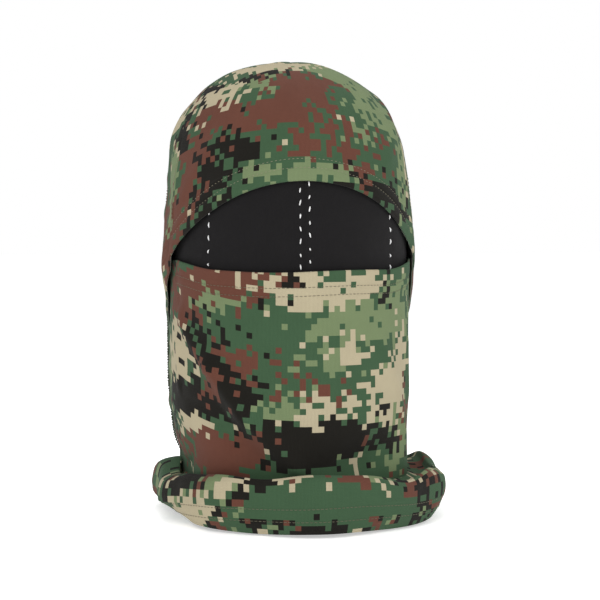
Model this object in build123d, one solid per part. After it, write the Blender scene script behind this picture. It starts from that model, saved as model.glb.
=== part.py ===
from build123d import *
import math
import os

# Camouflage face mask (balaclava) worn on a cloth-covered display form.
# Millimetres, +Z up, the face looks along -Y. The origin is the middle of the base, on the table.
# Every level section of the head is a slot: two half circles with straight sides between them.

# ---- driving dimensions: the mask ----
HALF_WIDTH = 85.0           # widest section, at the temples
HALF_STRAIGHT = 14.0        # half the straight side between the front and the back half circle
TEMPLE_Z = 178.0            # height of the widest section, where the dome starts
SIDE_RADIUS = 520.0         # the dome's outline is three tangent arcs: side, shoulder, crown
SIDE_TURN = 8.0
SHOULDER_RADIUS = 68.0
SHOULDER_TURN = 45.3
TUBE_HALF_WIDTH = 83.6      # half width where the tube ends at the neck
TUBE_BOTTOM_Z = 34.5
CLOTH = 1.3                 # one layer of knit
HEM_PROUD = 0.9             # how far a folded hem stands out from the single layer
GAP = 0.25                  # clearance between neighbouring cloth pieces

# ---- driving dimensions: eye opening and hems ----
ARCH_CENTRE_Z = 166.0       # the brow arch is half an ellipse
ARCH_HALF_WIDTH = 82.5
ARCH_RISE = 64.5
BROW_HEM_WIDTH = 16.0
FACE_EDGE_Z = 170.0         # top edge of the face panel
FACE_HEM_WIDTH = 15.0
FACE_HEM_END_Y = -34.0      # the hem's ends tuck under the side flaps
FLAP_FRONT_Y = -44.0        # the brow panel's side flap over the face panel's corner
FLAP_TOP_Z = 186.0
FLAP_BOTTOM_Z = 128.0
FLAP_FOOT = 6.0             # length of the flap's level bottom edge
FLAP_PROUD = 2.6

# ---- driving dimensions: seams, topstitching and neck ----
SEAM_Y = 12.0               # crown and side seams lie in this plane, just behind the widest line
SEAM_WIDTH = 3.0
SEAM_PROUD = 0.5
THREAD_RADIUS = 0.35
THREAD_CLEAR = 0.1
BROW_ROWS = (7.5, 13.0)     # distance of each row from the folded edge
BROW_ROW_FROM = 26.0        # each brow row leaves out this much of the half ellipse at either end, in degrees
FACE_ROWS = (9.0, 14.0)
FACE_ROW_TURN = 70.0        # each face row runs this many degrees to either side of the front
NECK_ROWS = (18.5, 12.5)    # height of each row above the table
CUFF_CENTRE_X = 7.0         # the neck fold sits a little to one side
CUFF_HALF_WIDTH = 100.0
CREST_Z = 41.5              # top of the neck fold
FOLD_INNER_Z = 30.5         # where the fold's inner leg starts
FOLD_WIDTH = 8.0
NECK_HEM_TOP_Z = 22.0
HEM_TUCK = 2.0              # the hem leans in this much towards the table

# ---- driving dimensions: the display form ----
FORM_INSET = 3.4            # form surface inside the mask's outside surface, at the temples
COVER = 1.0                 # black cover cloth
FOAM_CLEAR = 0.1            # between the cover cloth and the foam
COLUMN_BOTTOM_Z = 92.0      # the head column ends here and narrows to the neck
FORM_NECK_HALF_WIDTH = 62.0
FORM_NECK_Z = 46.0
BASE_HALF_WIDTH = 68.0
BASE_THICKNESS = 12.0
BASE_CHAMFER = 1.0
GORE_SEAM_ANGLES = (0.0, 51.0, 129.0, 231.0, 309.0)   # from the front, turning towards +X
GORE_GAP = 0.4
STITCH = (3.8, 1.3, 0.4)   # length, width and rise of one running stitch
STITCH_CLEAR = 0.06
STITCH_PITCH = 8.5
CENTRE_PAIR_X = 3.2         # the centre rows run either side of the front seam
SIDE_ROW_ANGLE = 48.5       # each side row, in degrees from the front
STITCH_FROM_Z = 96.0
STITCH_TO_Z = 290.0

BIG = 400.0


# ---- outlines ----
def dome_arcs(inset):
    """Centre, radius and turn limits of the side, shoulder and crown arcs, all moved in by inset."""
    side_end = math.radians(SIDE_TURN)
    crown_start = math.radians(SIDE_TURN + SHOULDER_TURN)
    side_centre = (HALF_WIDTH - SIDE_RADIUS, TEMPLE_Z)
    meet_x = side_centre[0] + SIDE_RADIUS * math.cos(side_end)
    meet_z = side_centre[1] + SIDE_RADIUS * math.sin(side_end)
    shoulder_centre = (meet_x - SHOULDER_RADIUS * math.cos(side_end),
                       meet_z - SHOULDER_RADIUS * math.sin(side_end))
    meet_x = shoulder_centre[0] + SHOULDER_RADIUS * math.cos(crown_start)
    meet_z = shoulder_centre[1] + SHOULDER_RADIUS * math.sin(crown_start)
    crown_radius = meet_x / math.cos(crown_start)
    crown_centre = (0.0, meet_z - crown_radius * math.sin(crown_start))
    return (
        (side_centre, SIDE_RADIUS - inset, 0.0, side_end),
        (shoulder_centre, SHOULDER_RADIUS - inset, side_end, crown_start),
        (crown_centre, crown_radius - inset, crown_start, math.pi / 2),
    )


def arc_point(arc, turn):
    centre, radius = arc[0], arc[1]
    return (centre[0] + radius * math.cos(turn), centre[1] + radius * math.sin(turn))


def outline_width(z, inset):
    """Half width of the mask's outside at a height, moved in by inset."""
    if z <= TEMPLE_Z:
        share = (TEMPLE_Z - z) / (TEMPLE_Z - TUBE_BOTTOM_Z)
        return HALF_WIDTH + (TUBE_HALF_WIDTH - HALF_WIDTH) * share - inset
    for arc in dome_arcs(inset):
        top = arc_point(arc, arc[3])[1]
        if z <= top:
            turn = math.asin((z - arc[0][1]) / arc[1])
            return arc[0][0] + arc[1] * math.cos(turn)
    return 0.0


def draw_dome(inset):
    for arc in dome_arcs(inset):
        middle = (arc[2] + arc[3]) / 2
        ThreePointArc(arc_point(arc, arc[2]), arc_point(arc, middle), arc_point(arc, arc[3]))


def mask_outline(inset, low_z):
    draw_dome(inset)
    crown_z = arc_point(dome_arcs(inset)[2], math.pi / 2)[1]
    Polyline((0, crown_z), (0, low_z), (outline_width(low_z, inset), low_z), (HALF_WIDTH - inset, TEMPLE_Z))


def form_outline(inset, low_z):
    draw_dome(inset)
    crown_z = arc_point(dome_arcs(inset)[2], math.pi / 2)[1]
    neck = FORM_NECK_HALF_WIDTH - inset + FORM_INSET
    column = HALF_WIDTH - inset
    middle = ((neck + column) / 2, (FORM_NECK_Z + COLUMN_BOTTOM_Z) / 2)
    Polyline((0, crown_z), (0, low_z), (neck, low_z), (neck, FORM_NECK_Z))
    Spline((neck, FORM_NECK_Z), middle, (column, COLUMN_BOTTOM_Z), tangents=((0, 1), (0, 1)))
    Line((column, COLUMN_BOTTOM_Z), (column, TEMPLE_Z))


def head_solid(outline, inset, low_z):
    """Outline turned half round at the front and back, and run straight between."""
    with BuildSketch(Plane.XZ) as half:
        with BuildLine():
            outline(inset, low_z)
        make_face()
    face = half.sketch.face()
    whole = half.sketch + mirror(half.sketch, about=Plane.YZ)
    straight = Pos(0, HALF_STRAIGHT, 0) * extrude(whole, amount=2 * HALF_STRAIGHT, dir=(0, -1, 0))
    front = Pos(0, -HALF_STRAIGHT, 0) * revolve(Sketch() + face, axis=Axis.Z, revolution_arc=-180)
    back = Pos(0, HALF_STRAIGHT, 0) * revolve(Sketch() + face, axis=Axis.Z, revolution_arc=180)
    return straight + front + back


def mask_solid(inset):
    low_z = TUBE_BOTTOM_Z - (20.0 if inset > 0 else 0.0)
    return head_solid(mask_outline, inset, low_z)


def shell(outer_inset, inner_inset):
    return mask_solid(outer_inset) - mask_solid(inner_inset)


def block(x_from, x_to, y_from, y_to, z_from, z_to):
    """An axis-aligned cutting box."""
    size = (x_to - x_from, y_to - y_from, z_to - z_from)
    middle = ((x_from + x_to) / 2, (y_from + y_to) / 2, (z_from + z_to) / 2)
    return Pos(*middle) * Box(*size)


def arch_prism(spread):
    """The region under the brow arch, widened by spread and run forwards through the face."""
    half_width = ARCH_HALF_WIDTH + spread
    arch = Plane.XZ * Pos(0, ARCH_CENTRE_Z) * Ellipse(half_width, ARCH_RISE + spread)
    return extrude(arch, amount=BIG / 2, dir=(0, -1, 0))


def plan_point(width, angle, z):
    """A point on the slot section of a given half width, at an angle from the front."""
    turn = math.radians(angle)
    x = width * math.sin(turn)
    y = -width * math.cos(turn)
    y += -HALF_STRAIGHT if math.cos(turn) > 0 else HALF_STRAIGHT
    return (x, y, z)


FRONT_LIMIT = SEAM_Y - SEAM_WIDTH / 2 - GAP
BACK_LIMIT = SEAM_Y + SEAM_WIDTH / 2 + GAP
FLAP_SPLIT_Z = FACE_EDGE_Z + 3.0
FLAP_NOSE_Z = FACE_EDGE_Z - 7.0


# ---- mask panels ----
def make_back_panel(cloth):
    return cloth & block(-BIG, BIG, BACK_LIMIT, BIG, 0, BIG)


def make_brow_panel(cloth):
    """Crown front down to the brow hem, with a flap at each side over the face panel's corners."""
    above = block(-BIG, BIG, -BIG, FRONT_LIMIT, FLAP_SPLIT_Z, BIG)
    crown = (cloth & above) - arch_prism(BROW_HEM_WIDTH + GAP)
    with BuildSketch(Plane.YZ) as side:
        with BuildLine():
            Polyline((FLAP_FRONT_Y, FLAP_TOP_Z), (FRONT_LIMIT, FLAP_TOP_Z), (FRONT_LIMIT, FLAP_BOTTOM_Z),
                     (FRONT_LIMIT - FLAP_FOOT, FLAP_BOTTOM_Z), (FLAP_FRONT_Y, FLAP_NOSE_Z), close=True)
        make_face()
    flap_zone = extrude(side.sketch, amount=BIG / 2, both=True)
    proud = shell(-FLAP_PROUD, -HEM_PROUD - GAP) & flap_zone
    step = shell(-FLAP_PROUD, 0.0) & flap_zone & above
    return crown + (step - arch_prism(BROW_HEM_WIDTH + GAP)) + (proud - arch_prism(BROW_HEM_WIDTH + GAP))


def make_brow_hem(hem_cloth):
    above = block(-BIG, BIG, -BIG, -GAP, FLAP_SPLIT_Z + GAP, BIG)
    return (hem_cloth & above & arch_prism(BROW_HEM_WIDTH)) - arch_prism(0.0)


def make_face_hem(hem_cloth):
    return hem_cloth & block(-BIG, BIG, -BIG, FACE_HEM_END_Y, FACE_EDGE_Z - FACE_HEM_WIDTH, FACE_EDGE_Z)


def make_face_panel(cloth):
    """Front of the tube from the face hem to the neck, and up behind the hem's ends."""
    low = block(-BIG, BIG, -BIG, FRONT_LIMIT, 0, FACE_EDGE_Z - FACE_HEM_WIDTH - GAP)
    corners = block(-BIG, BIG, FACE_HEM_END_Y + GAP, FRONT_LIMIT, 0, FACE_EDGE_Z)
    return cloth & (low + corners)


def make_seams():
    """The overlocked seam is one strip over the crown and one down each side."""
    slab = block(-BIG, BIG, SEAM_Y - SEAM_WIDTH / 2, SEAM_Y + SEAM_WIDTH / 2, 0, BIG)
    strip = shell(-SEAM_PROUD, CLOTH) & slab
    return {
        "crown_seam": strip & block(-BIG, BIG, -BIG, BIG, TEMPLE_Z + GAP, BIG),
        "side_seam_left": strip & block(-BIG, 0, -BIG, BIG, TUBE_BOTTOM_Z, TEMPLE_Z),
        "side_seam_right": strip & block(0, BIG, -BIG, BIG, TUBE_BOTTOM_Z, TEMPLE_Z),
    }


# ---- topstitching ----
def thread_along(points):
    path = Spline(*points)
    profile = Plane(origin=path @ 0, z_dir=path % 0) * Circle(THREAD_RADIUS)
    return sweep(profile, path=path)


def make_brow_row(distance):
    """A thread that follows the brow arch at a distance from its edge."""
    stand_off = HEM_PROUD + THREAD_RADIUS + THREAD_CLEAR
    points = []
    steps = 24
    for step in range(steps + 1):
        turn = math.radians(BROW_ROW_FROM + (180.0 - 2 * BROW_ROW_FROM) * step / steps)
        x = (ARCH_HALF_WIDTH + distance) * math.cos(turn)
        z = ARCH_CENTRE_Z + (ARCH_RISE + distance) * math.sin(turn)
        width = outline_width(z, -stand_off)
        x = max(-width + 1.0, min(width - 1.0, x))
        points.append((x, -HALF_STRAIGHT - math.sqrt(width ** 2 - x ** 2), z))
    return thread_along(points)


def make_face_row(distance):
    stand_off = HEM_PROUD + THREAD_RADIUS + THREAD_CLEAR
    steps = 12
    z = FACE_EDGE_Z - distance
    width = outline_width(z, -stand_off)
    angles = [FACE_ROW_TURN * (2.0 * step / steps - 1.0) for step in range(steps + 1)]
    return thread_along([plan_point(width, angle, z) for angle in angles])


# ---- neck fold ----
def slot_ring(outline):
    """A closed outline at the cuff's wall, carried round a slot-shaped path."""
    with BuildSketch(Plane.XZ) as wall:
        with BuildLine():
            outline()
        make_face()
    section = wall.sketch
    half_turn_front = Pos(0, -HALF_STRAIGHT, 0) * revolve(section, axis=Axis.Z, revolution_arc=-180)
    half_turn_back = Pos(0, HALF_STRAIGHT, 0) * revolve(section, axis=Axis.Z, revolution_arc=180)
    both_walls = section + mirror(section, about=Plane.YZ)
    straight = Pos(0, HALF_STRAIGHT, 0) * extrude(both_walls, amount=2 * HALF_STRAIGHT, dir=(0, -1, 0))
    return Pos(CUFF_CENTRE_X, 0, 0) * (straight + half_turn_front + half_turn_back)


def skirt_outline():
    """The cloth comes up outside the tube, over a crest, and down to the neck hem."""
    inner = CUFF_HALF_WIDTH - FOLD_WIDTH
    outer = CUFF_HALF_WIDTH + 0.5
    radius = (outer - inner) / 2
    bend_z = CREST_Z - radius
    low_z = NECK_HEM_TOP_Z + GAP
    middle = (inner + outer) / 2
    Line((inner, FOLD_INNER_Z), (inner, bend_z))
    ThreePointArc((inner, bend_z), (middle, CREST_Z), (outer, bend_z))
    Line((outer, bend_z), (outer, low_z))
    Line((outer, low_z), (outer - CLOTH, low_z))
    Line((outer - CLOTH, low_z), (outer - CLOTH, bend_z))
    ThreePointArc((outer - CLOTH, bend_z), (middle, CREST_Z - CLOTH), (inner + CLOTH, bend_z))
    Line((inner + CLOTH, bend_z), (inner + CLOTH, FOLD_INNER_Z))
    Line((inner + CLOTH, FOLD_INNER_Z), (inner, FOLD_INNER_Z))


def neck_hem_outline():
    top = CUFF_HALF_WIDTH + HEM_PROUD
    thick = CLOTH + HEM_PROUD
    Polyline((top, NECK_HEM_TOP_Z), (top - HEM_TUCK, 0.0), (top - HEM_TUCK - thick, 0.0),
             (top - thick, NECK_HEM_TOP_Z), close=True)


def make_neck_row(height):
    face_x = CUFF_HALF_WIDTH + HEM_PROUD - HEM_TUCK * (1.0 - height / NECK_HEM_TOP_Z)
    centre_x = face_x + THREAD_RADIUS + THREAD_CLEAR

    def outline():
        CenterArc((centre_x, height), THREAD_RADIUS, 0, 360)

    return slot_ring(outline)


# ---- display form ----
def make_covers():
    """Black cover cloth, sewn from five gores that meet at the seam angles."""
    low_z = BASE_THICKNESS + GAP
    skin = head_solid(form_outline, FORM_INSET, low_z) - head_solid(form_outline, FORM_INSET + COVER, 0.0)
    names = ("cover_front_right", "cover_side_right", "cover_back", "cover_side_left", "cover_front_left")
    reach = 2.0 * HALF_WIDTH
    gores = {}
    for index, name in enumerate(names):
        start = GORE_SEAM_ANGLES[index]
        end = GORE_SEAM_ANGLES[(index + 1) % len(names)]
        end += 360.0 if end <= start else 0.0
        middle = math.radians((start + end) / 2)
        nudge = GORE_GAP / 2 / math.sin(math.radians((end - start) / 2))
        apex = (nudge * math.sin(middle), -nudge * math.cos(middle))
        corners = [apex]
        for step in range(5):
            turn = math.radians(start + (end - start) * step / 4)
            corners.append((apex[0] + reach * math.sin(turn), apex[1] - reach * math.cos(turn)))
        wedge = extrude(Polygon(*corners, align=None), amount=BIG)
        gores[name] = skin & wedge
    return gores


def make_base_board():
    plan = SlotOverall(2 * (BASE_HALF_WIDTH + HALF_STRAIGHT), 2 * BASE_HALF_WIDTH, rotation=90)
    board = extrude(plan, amount=BASE_THICKNESS)
    top_edges = board.edges().filter_by_position(Axis.Z, BASE_THICKNESS, BASE_THICKNESS)
    return chamfer(top_edges, BASE_CHAMFER)


def form_width(z, lift):
    """Half width of the cover cloth at a height, moved out by lift; straight below the temples."""
    return outline_width(max(z, TEMPLE_Z), FORM_INSET - lift)


def stitch_at(angle, side_shift, z):
    """One flat stitch lying on the cover cloth, turned to the surface under it."""
    lift = STITCH[2] / 2 + STITCH_CLEAR
    here = Vector(*plan_point(form_width(z, lift), angle, z))
    above = Vector(*plan_point(form_width(z + 0.5, lift), angle, z + 0.5))
    upward = (above - here).normalized()
    turn = math.radians(angle)
    outward = Vector(math.sin(turn), -math.cos(turn), 0)
    sideways = upward.cross(outward).normalized()
    normal = sideways.cross(upward).normalized()
    place = Plane(origin=here + sideways * side_shift, x_dir=upward, z_dir=normal)
    return place * Box(*STITCH)


def make_running_stitches(rows):
    """Short white stitches up the cover cloth; each row is an angle and a sideways shift."""
    count = int((STITCH_TO_Z - STITCH_FROM_Z) / STITCH_PITCH)
    stitches = []
    for angle, side_shift in rows:
        for step in range(count):
            stitches.append(stitch_at(angle, side_shift, STITCH_FROM_Z + STITCH_PITCH * step))
    return Compound(children=stitches)


# ---- write the parts ----
def make_all():
    cloth = shell(0.0, CLOTH)
    hem_cloth = shell(-HEM_PROUD, CLOTH)
    skirt = slot_ring(skirt_outline)
    parts = {
        "back_panel": make_back_panel(cloth),
        "brow_panel": make_brow_panel(cloth),
        "brow_hem": make_brow_hem(hem_cloth),
        "face_hem": make_face_hem(hem_cloth),
        "face_panel": make_face_panel(cloth),
        "front_skirt": skirt & block(-BIG, BIG, -BIG, SEAM_Y - GAP, 0, BIG),
        "back_skirt": skirt & block(-BIG, BIG, SEAM_Y + GAP, BIG, 0, BIG),
        "neck_hem": slot_ring(neck_hem_outline),
        "brow_topstitch_lower": make_brow_row(BROW_ROWS[0]),
        "brow_topstitch_upper": make_brow_row(BROW_ROWS[1]),
        "face_topstitch_upper": make_face_row(FACE_ROWS[0]),
        "face_topstitch_lower": make_face_row(FACE_ROWS[1]),
        "neck_topstitch_upper": make_neck_row(NECK_ROWS[0]),
        "neck_topstitch_lower": make_neck_row(NECK_ROWS[1]),
        "foam_core": head_solid(form_outline, FORM_INSET + COVER + FOAM_CLEAR, BASE_THICKNESS + GAP),
        "base_board": make_base_board(),
        "running_stitches_centre": make_running_stitches(((0.0, -CENTRE_PAIR_X), (0.0, CENTRE_PAIR_X))),
        "running_stitches_left": make_running_stitches(((-SIDE_ROW_ANGLE, 0.0),)),
        "running_stitches_right": make_running_stitches(((SIDE_ROW_ANGLE, 0.0),)),
        "running_stitches_back": make_running_stitches(((180.0 - SIDE_ROW_ANGLE, 0.0),
                                                        (180.0 + SIDE_ROW_ANGLE, 0.0))),
    }
    parts.update(make_seams())
    parts.update(make_covers())
    return parts


os.makedirs("parts", exist_ok=True)
for node, shape in make_all().items():
    export_step(shape, f"parts/{node}.step")
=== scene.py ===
"""Camouflage face mask on a black display form: the cloth, seams, stitching and materials."""
import math
import bpy
import numpy as np
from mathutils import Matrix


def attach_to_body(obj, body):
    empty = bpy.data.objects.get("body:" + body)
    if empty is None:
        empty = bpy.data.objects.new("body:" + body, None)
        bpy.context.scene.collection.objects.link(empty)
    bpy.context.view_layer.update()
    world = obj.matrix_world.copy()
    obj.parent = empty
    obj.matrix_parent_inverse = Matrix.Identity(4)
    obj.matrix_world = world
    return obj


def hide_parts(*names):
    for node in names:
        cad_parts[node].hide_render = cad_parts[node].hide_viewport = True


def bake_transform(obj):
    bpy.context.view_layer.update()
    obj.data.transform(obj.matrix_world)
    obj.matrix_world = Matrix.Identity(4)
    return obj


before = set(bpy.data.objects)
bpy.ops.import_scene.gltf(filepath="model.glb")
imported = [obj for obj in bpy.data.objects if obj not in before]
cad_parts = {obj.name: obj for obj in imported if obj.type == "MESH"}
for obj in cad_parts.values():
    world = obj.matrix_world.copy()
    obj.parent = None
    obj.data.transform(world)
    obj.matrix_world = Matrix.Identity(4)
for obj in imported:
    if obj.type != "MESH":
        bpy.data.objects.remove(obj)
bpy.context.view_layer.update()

# ---- driving dimensions, in millimetres like the CAD; meshes are written in metres ----
MM = 0.001
HALF_WIDTH = 85.0           # slot section: two half circles with straight sides between them
HALF_STRAIGHT = 14.0
TEMPLE_Z = 178.0
DOME_ARCS = ((520.0, 8.0), (68.0, 45.3))  # radius and turn of the side and shoulder arcs
TUBE_HALF_WIDTH = 83.6
TUBE_BOTTOM_Z = 34.5
QUARTER = HALF_WIDTH * math.pi / 2  # ring distance from the front to where a side starts
SEAM_Y = 12.0
SEAM_Q = QUARTER + HALF_STRAIGHT + SEAM_Y  # ring distance from the front to the seam
BACK_Q = QUARTER * 2 + HALF_STRAIGHT * 2  # ring distance from the front to the back centre
ARCH = (166.0, 82.5, 64.5)  # brow arch: centre height, half width, rise
ARCH_SPREAD = 0.985         # sideways distance counts at this share, which widens the arch a little
ARCH_END_Q = 112.0          # ring distance where the arch meets the side flap's edge
FLAP_TOP_Z = 172.0          # the flap's lower edge falls from here,
FLAP_DROP = 48.0            # by this much,
FLAP_FROM_Q = 104.0         # starting at this ring distance
FLAP_REACH = 60.0           # and ending this far on
FACE_EDGE_Z = 170.5
FACE_HEM = 15.0
HEM_SHORT = 5.0             # the face hem ends this far before the side seams
BROW_HEM = 16.0
SEAM_GAP = 0.4              # the panels stop this far before the seam line
CLOTH = 0.9
HEM_CLOTH = CLOTH * 1.7     # a hem is a folded double edge
STEP = 2.2                  # target size of a cloth mesh square
TUBE_LOW_V = 27.0           # the mask's tube ends here, inside the neck fold
FACE_SPLIT_V = 96.0         # the face cloth is two pieces, which meet here
BROW_ROWS = (8.0, 14.0)     # topstitching: distance from each hem's edge
FACE_ROWS = (9.5, 15.0)
NECK_ROWS = (19.0, 13.0)
NECK_HEM_LENGTH = 20.5      # up the section of the neck hem, from its foot
CELL = 3.9                  # one camouflage square
SPECK_REACH = 25.0          # how far stray squares scatter past a patch's edge
PATCH_WOBBLE = 2.2          # how strongly a patch's outline wanders
PATCH_EDGE = 1.08           # a patch ends here, as a multiple of its own reach
FORM_INSET = 3.4
FORM_LOW_V = 13.0
COLUMN_BOTTOM_Z = 92.0      # the form narrows from here down to its neck
FORM_NECK_Z = 46.0
FORM_NARROWS = 19.6
GORE_SEAMS = (0.0, 51.0, 129.0)  # angles of the cover's seams from the front
NECK_ROLL = 30.0            # travel of the neck fold
ROLL_FROM_Z = 95.5          # cloth above this stays, below ROLL_ALL_Z it all moves
ROLL_ALL_Z = 40.0
FRONT_Y = -90.0             # a point on the front
POLE_GAP = 0.7              # normals are taken this far short of the crown's pole
CUFF_X = 7.0
CUFF_HALF_WIDTH = 100.0
CREASE_HEIGHT = 11.0        # soft creases, as a multiple of the knit's own relief
STUDIO_LIGHT = 0.60         # light from all round; the camera sees it as plain white
FLOOR_TONE = 0.92
FLOOR_GLOW = 0.46
LIGHT_TARGET = (0.0, 0.0, 0.16)  # metres

# ---- colours, linear ----
DARK = (0.041, 0.083, 0.042)
LIGHT = (0.145, 0.190, 0.095)
TAN = (0.385, 0.335, 0.225)
BROWN = (0.110, 0.042, 0.028)
BLACK = (0.0095, 0.0085, 0.0065)
FORM_BLACK = (0.0062, 0.0055, 0.0060)
THREAD_PALE = (0.20, 0.18, 0.12)
THREAD_DARK = (0.11, 0.10, 0.06)


# ---- small helpers ----
def smooth(x):
    x = np.clip(x, 0.0, 1.0)
    return x * x * (3.0 - 2.0 * x)


def bump(x, centre, width):
    return np.exp(-((x - centre) / width) ** 2)


def ripple(q, v, scale, phase):
    """Gentle unevenness of cloth, about -1 to 1, from a few crossed waves."""
    a = q / scale
    b = v / scale
    total = np.sin(a * 1.3 + b * 0.7 + phase) + 0.7 * np.sin(a * 0.6 - b * 1.7 + phase * 2.1)
    total = total + 0.5 * np.sin(a * 2.3 + b * 1.9 + phase * 0.7) + 0.4 * np.sin(b * 3.1 - a * 0.9 + phase)
    return total / 2.6


def line_distance(q, v, a, b):
    """Signed distance from a fold line (positive on its left) and the share along it."""
    direction = np.array(b, float) - np.array(a, float)
    length = np.hypot(*direction)
    unit = direction / length
    along = ((q - a[0]) * unit[0] + (v - a[1]) * unit[1]) / length
    across = (v - a[1]) * unit[0] - (q - a[0]) * unit[1]
    return across, along


def fold(q, v, a, b, width, height):
    """A ridge along a line from a to b, fading out past its ends."""
    across, along = line_distance(q, v, a, b)
    fade = smooth((along + 0.25) / 0.3) * smooth((1.25 - along) / 0.3)
    return height * np.exp(-(across / width) ** 2) * fade


def folds(q, v, lines):
    """Height of several ridges together; each line is (from, to, width, height)."""
    return sum(fold(q, v, *line) for line in lines)


# ---- the head's surface ----
def dome_table():
    """Centre, radius, start turn and start distance of each dome arc, up to the pole."""
    arcs = []
    turn = 0.0
    distance = TEMPLE_Z
    x, z = HALF_WIDTH, TEMPLE_Z
    for radius, degrees in DOME_ARCS:
        centre = (x - radius * math.cos(turn), z - radius * math.sin(turn))
        arcs.append((centre, radius, turn, distance))
        distance += radius * math.radians(degrees)
        turn += math.radians(degrees)
        x = centre[0] + radius * math.cos(turn)
        z = centre[1] + radius * math.sin(turn)
    radius = x / math.cos(turn)
    arcs.append(((0.0, z - radius * math.sin(turn)), radius, turn, distance))
    return arcs, distance + radius * (math.pi / 2 - turn)


DOME, POLE_V = dome_table()
CAP_V = DOME[2][3]          # the crown cap starts where the last arc does


def profile(v):
    """Half width, height and outward normal at a distance v up the outline."""
    v = np.asarray(v, float)
    share = (TEMPLE_Z - v) / (TEMPLE_Z - TUBE_BOTTOM_Z)
    width = HALF_WIDTH + (TUBE_HALF_WIDTH - HALF_WIDTH) * share
    z = v.copy()
    out_w = np.ones_like(v)
    out_z = np.zeros_like(v)
    for centre, radius, start, distance in DOME:
        turn = np.minimum(start + (v - distance) / radius, math.pi / 2)
        inside = v > distance
        width = np.where(inside, centre[0] + radius * np.cos(turn), width)
        z = np.where(inside, centre[1] + radius * np.sin(turn), z)
        out_w = np.where(inside, np.cos(turn), out_w)
        out_z = np.where(inside, np.sin(turn), out_z)
    return np.maximum(width, 0.0), z, out_w, out_z


def ring(q, width):
    """Point and outward direction on a slot section; q is distance round it from the front."""
    side = np.where(q < 0, -1.0, 1.0)
    a = np.abs(q)
    front = a < QUARTER
    straight = a < QUARTER + 2 * HALF_STRAIGHT
    turn = np.where(front, a, a - 2 * HALF_STRAIGHT) / HALF_WIDTH
    sin, cos = np.sin(turn), np.cos(turn)
    x = np.where(front | ~straight, width * sin, width)
    y = np.where(front, -HALF_STRAIGHT - width * cos, HALF_STRAIGHT - width * cos)
    y = np.where(~front & straight, -HALF_STRAIGHT + (a - QUARTER), y)
    nx = np.where(front | ~straight, sin, 1.0)
    ny = np.where(front | ~straight, -cos, 0.0)
    return x * side, y, nx * side, ny


def surface(q, v, out):
    """Points on the mask's outside surface, moved out along its normal, in millimetres."""
    width, z, out_w, out_z = profile(v)
    x, y, nx, ny = ring(q, width)
    return np.stack([x + nx * out_w * out, y + ny * out_w * out, z + out_z * out], axis=-1)


def form_surface(q, v, out):
    """The display form's cover: like the mask's outline, but straight, then a narrower neck."""
    v = np.asarray(v, float)
    width, z, out_w, out_z = profile(v)
    share = smooth((COLUMN_BOTTOM_Z - v) / (COLUMN_BOTTOM_Z - FORM_NECK_Z))
    width = np.where(v < TEMPLE_Z, HALF_WIDTH - FORM_NARROWS * share, width)
    inset = out - FORM_INSET
    x, y, nx, ny = ring(q, width)
    return np.stack([x + nx * out_w * inset, y + ny * out_w * inset, z + out_z * inset], axis=-1)


def arch_edge(q):
    """Distance up the outline of the brow panel's lower edge: arch, then the side flap's edge."""
    a = np.abs(q)
    centre_z, half_width, rise = ARCH
    x = HALF_WIDTH * np.sin(np.minimum(a, QUARTER) / HALF_WIDTH) * ARCH_SPREAD
    inside = np.clip(1.0 - (x / half_width) ** 2, 0.0, 1.0)
    arch = centre_z + rise * np.sqrt(inside)
    flap = FLAP_TOP_Z - FLAP_DROP * smooth((a - FLAP_FROM_Q) / FLAP_REACH)
    return np.maximum(np.where(a < ARCH_END_Q, arch, 0.0), flap)


# ---- camouflage: (distance round the ring, distance up the outline, half sizes, colour) ----
HOOD_PATCHES = (
    (-15, 335, 52, 13, TAN), (45, 326, 34, 13, LIGHT), (70, 302, 20, 15, LIGHT), (84, 274, 11, 13, LIGHT),
    (61, 280, 9, 12, LIGHT), (100, 246, 10, 17, LIGHT), (92, 222, 9, 13, LIGHT), (48, 262, 7, 5, LIGHT),
    (105, 242, 5, 32, TAN), (-86, 292, 24, 21, TAN), (-58, 312, 22, 8, TAN), (-101, 300, 13, 9, BLACK),
    (-42, 317, 26, 5, BLACK), (-38, 303, 17, 8, LIGHT), (3, 303, 31, 14, BROWN), (-14, 280, 25, 11, BROWN),
    (-62, 273, 34, 10, BROWN), (-86, 251, 18, 15, BROWN), (-1, 257, 8, 10, BROWN), (-110, 262, 10, 15, BLACK),
    (-48, 251, 18, 8, BLACK), (-66, 234, 17, 10, BLACK), (-84, 214, 12, 14, BLACK), (-34, 235, 12, 5, LIGHT),
    (14, 236, 24, 5, LIGHT), (47, 233, 9, 8, BROWN), (33, 250, 6, 4, BROWN), (12, 258, 11, 4, BROWN),
    (38, 231, 7, 3, BLACK), (62, 222, 13, 6, BLACK), (82, 208, 9, 8, BLACK), (-94, 228, 9, 13, BROWN),
    (-107, 200, 12, 18, BROWN), (-123, 176, 11, 15, BROWN), (-119, 226, 9, 25, LIGHT),
    (128, 240, 14, 30, DARK), (140, 190, 12, 26, BLACK), (-142, 240, 10, 36, DARK),
    (-136, 300, 12, 16, BROWN), (-128, 272, 9, 10, TAN), (-141, 206, 11, 16, BROWN), (-138, 158, 11, 10, TAN),
    (134, 302, 15, 13, BROWN), (122, 270, 9, 11, BLACK), (130, 214, 13, 9, TAN), (130, 160, 12, 9, BROWN),
)
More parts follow.
